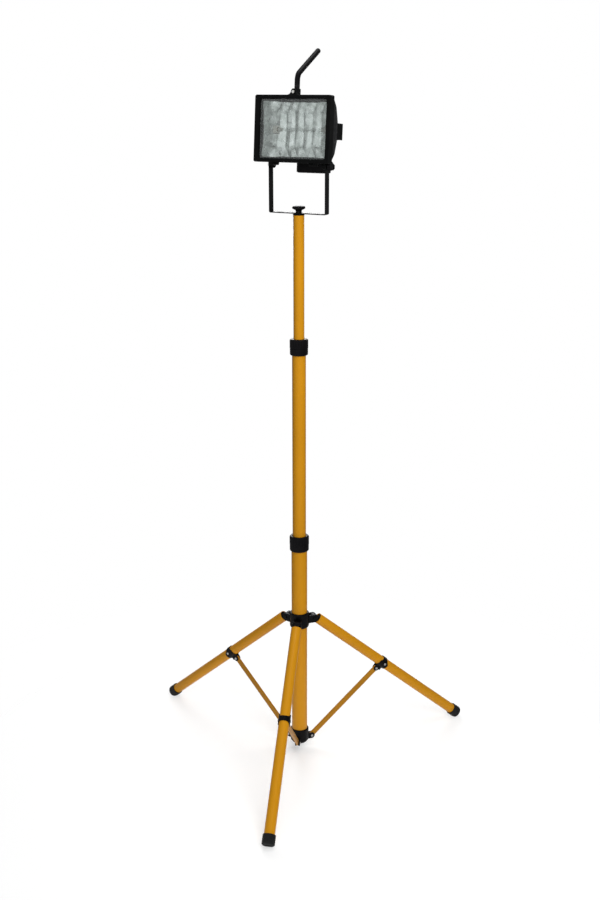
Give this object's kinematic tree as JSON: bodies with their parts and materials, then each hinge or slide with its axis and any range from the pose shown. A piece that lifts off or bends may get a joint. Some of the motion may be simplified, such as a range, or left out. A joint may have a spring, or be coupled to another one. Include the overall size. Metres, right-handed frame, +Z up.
{
  "type": "work light",
  "caption": "Halogen floodlight in a tilting yoke on a telescopic mast with twist collars and a folding tripod base.",
  "frame": {"origin": "on the floor at the middle of the footprint box; the column stands behind it", "axes": "+Z up, -Y towards the foot of the front leg, +X to the right seen from the front"},
  "size_m": [0.7922, 0.6901, 1.6842],
  "materials": {
    "yellow_paint": "gloss yellow stove enamel on steel tube",
    "black_plastic": "moulded black nylon, satin",
    "black_paint": "satin black powder coat on steel",
    "black_cast": "satin black powder coat on die-cast aluminium",
    "nylon": "natural nylon",
    "zinc_steel": "bright zinc plate",
    "reflector": "bright anodised, fluted",
    "ceramic": "steatite ceramic",
    "brass": "plain",
    "glass": "tempered clear",
    "quartz": "clear quartz",
    "tungsten": "plain",
    "silicone": "matt",
    "foot_rubber": "matt black"
  },
  "bodies": {
    "column": {"lower_tube": "yellow_paint", "lower_hub": "black_plastic", "lower_hub_rivets": "zinc_steel", "lower_collar_body": "black_plastic", "lower_collet": "nylon"},
    "lower_twist_nut": {"lower_collar_nut": "black_plastic"},
    "mast_middle": {"middle_tube": "yellow_paint", "middle_slide_bush": "nylon", "upper_collar_body": "black_plastic", "upper_collet": "nylon"},
    "upper_twist_nut": {"upper_collar_nut": "black_plastic"},
    "mast_upper": {"upper_tube": "yellow_paint", "upper_slide_bush": "nylon", "top_plug": "black_plastic", "top_stud": "zinc_steel"},
    "pan_lock": {"pan_knob": "black_plastic"},
    "yoke": {"yoke": "black_paint"},
    "tilt_lock": {"tilt_knob": "black_plastic"},
    "head": {"tilt_bolts": "zinc_steel", "housing": "black_cast", "reflector": "reflector", "lamp_holders": "ceramic", "holder_contacts": "brass", "lamp_tube": "quartz", "lamp_end_caps": "ceramic", "filament": "tungsten", "bezel_hinge_pins": "zinc_steel", "handle": "black_plastic", "terminal_box": "black_plastic", "terminal_box_cover": "black_plastic", "box_screws": "zinc_steel", "terminal_block": "ceramic", "gland_body": "black_plastic", "gland_nut": "black_plastic"},
    "bezel": {"bezel": "black_cast", "front_glass": "glass", "glass_gasket": "silicone", "bezel_screw": "zinc_steel"},
    "leg_hub": {"leg_hub": "black_plastic", "leg_pins": "black_paint"},
    "hub_lock": {"hub_lock_screw": "black_plastic"},
    "front_leg": {"front_leg_tube": "yellow_paint", "front_leg_plug": "black_plastic", "front_foot_cap": "foot_rubber", "front_leg_clip": "black_plastic", "front_clip_rivets": "zinc_steel"},
    "front_brace": {"front_brace": "yellow_paint"},
    "left_leg": {"left_leg_tube": "yellow_paint", "left_leg_plug": "black_plastic", "left_foot_cap": "foot_rubber", "left_leg_clip": "black_plastic", "left_clip_rivets": "zinc_steel"},
    "left_brace": {"left_brace": "yellow_paint"},
    "right_leg": {"right_leg_tube": "yellow_paint", "right_leg_plug": "black_plastic", "right_foot_cap": "foot_rubber", "right_leg_clip": "black_plastic", "right_clip_rivets": "zinc_steel"},
    "right_brace": {"right_brace": "yellow_paint"}
  },
  "joints": [
    {"name": "middle_mast_slide", "type": "slide", "parent": "column", "child": "mast_middle", "axis": [0, 0, 1], "range_m": [-0.438, 0]},
    {"name": "upper_mast_slide", "type": "slide", "parent": "mast_middle", "child": "mast_upper", "axis": [0, 0, 1], "range_m": [-0.276, 0.14]},
    {"name": "lower_collar_twist", "type": "hinge", "parent": "column", "child": "lower_twist_nut", "pos_m": [0, 0.10937, 0.557], "axis": [0, 0, 1], "range_deg": [0, 90]},
    {"name": "upper_collar_twist", "type": "hinge", "parent": "mast_middle", "child": "upper_twist_nut", "pos_m": [0, 0.10937, 1.037], "axis": [0, 0, 1], "range_deg": [0, 90]},
    {"name": "pan_knob_turn", "type": "hinge", "parent": "mast_upper", "child": "pan_lock", "pos_m": [0, 0.10937, 1.339], "axis": [0, 0, 1], "continuous": true},
    {"name": "head_pan", "type": "hinge", "parent": "mast_upper", "child": "yoke", "pos_m": [0, 0.10937, 1.331], "axis": [0, 0, 1], "continuous": true},
    {"name": "head_tilt", "type": "hinge", "parent": "yoke", "child": "head", "pos_m": [0, 0.10937, 1.437], "axis": [-0.9426, 0.3338, 0], "range_deg": [-38, 52]},
    {"name": "tilt_knob_turn", "type": "hinge", "parent": "yoke", "child": "tilt_lock", "pos_m": [0.07353, 0.08333, 1.437], "axis": [0.9426, -0.3338, 0], "continuous": true},
    {"name": "bezel_open", "type": "hinge", "parent": "head", "child": "bezel", "pos_m": [-0.00734, 0.08863, 1.44035], "axis": [0.9426, -0.3338, 0], "range_deg": [0, 68]},
    {"name": "hub_slide", "type": "slide", "parent": "column", "child": "leg_hub", "axis": [0, 0, 1], "range_m": [0, 0.1518]},
    {"name": "hub_lock_turn", "type": "hinge", "parent": "leg_hub", "child": "hub_lock", "pos_m": [0, 0.14436, 0.34798], "axis": [0, 1, 0], "continuous": true},
    {"name": "front_leg_fold", "type": "hinge", "parent": "leg_hub", "child": "front_leg", "pos_m": [0, 0.07236, 0.34798], "axis": [1, 0, 0], "range_deg": [0, 46.59]},
    {"name": "front_brace_fold", "type": "hinge", "parent": "front_leg", "child": "front_brace", "pos_m": [0, -0.09863, 0.18083], "axis": [-1, 0, 0], "range_deg": [0, 94.93]},
    {"name": "left_leg_fold", "type": "hinge", "parent": "leg_hub", "child": "left_leg", "pos_m": [-0.03204, 0.12787, 0.34798], "axis": [-0.5, -0.866, 0], "range_deg": [0, 46.59]},
    {"name": "left_brace_fold", "type": "hinge", "parent": "left_leg", "child": "left_brace", "pos_m": [-0.18013, 0.21336, 0.18083], "axis": [0.5, 0.866, 0], "range_deg": [0, 94.93]},
    {"name": "right_leg_fold", "type": "hinge", "parent": "leg_hub", "child": "right_leg", "pos_m": [0.03204, 0.12787, 0.34798], "axis": [-0.5, 0.866, 0], "range_deg": [0, 46.59]},
    {"name": "right_brace_fold", "type": "hinge", "parent": "right_leg", "child": "right_brace", "pos_m": [0.18013, 0.21336, 0.18083], "axis": [0.5, -0.866, 0], "range_deg": [0, 94.93]}
  ],
  "couplings": [
    {"joint": "front_leg_fold", "follows": "hub_slide", "rad_per_m": 5.3547},
    {"joint": "front_brace_fold", "follows": "hub_slide", "rad_per_m": 10.912},
    {"joint": "left_leg_fold", "follows": "hub_slide", "rad_per_m": 5.3547},
    {"joint": "left_brace_fold", "follows": "hub_slide", "rad_per_m": 10.912},
    {"joint": "right_leg_fold", "follows": "hub_slide", "rad_per_m": 5.3547},
    {"joint": "right_brace_fold", "follows": "hub_slide", "rad_per_m": 10.912}
  ]
}
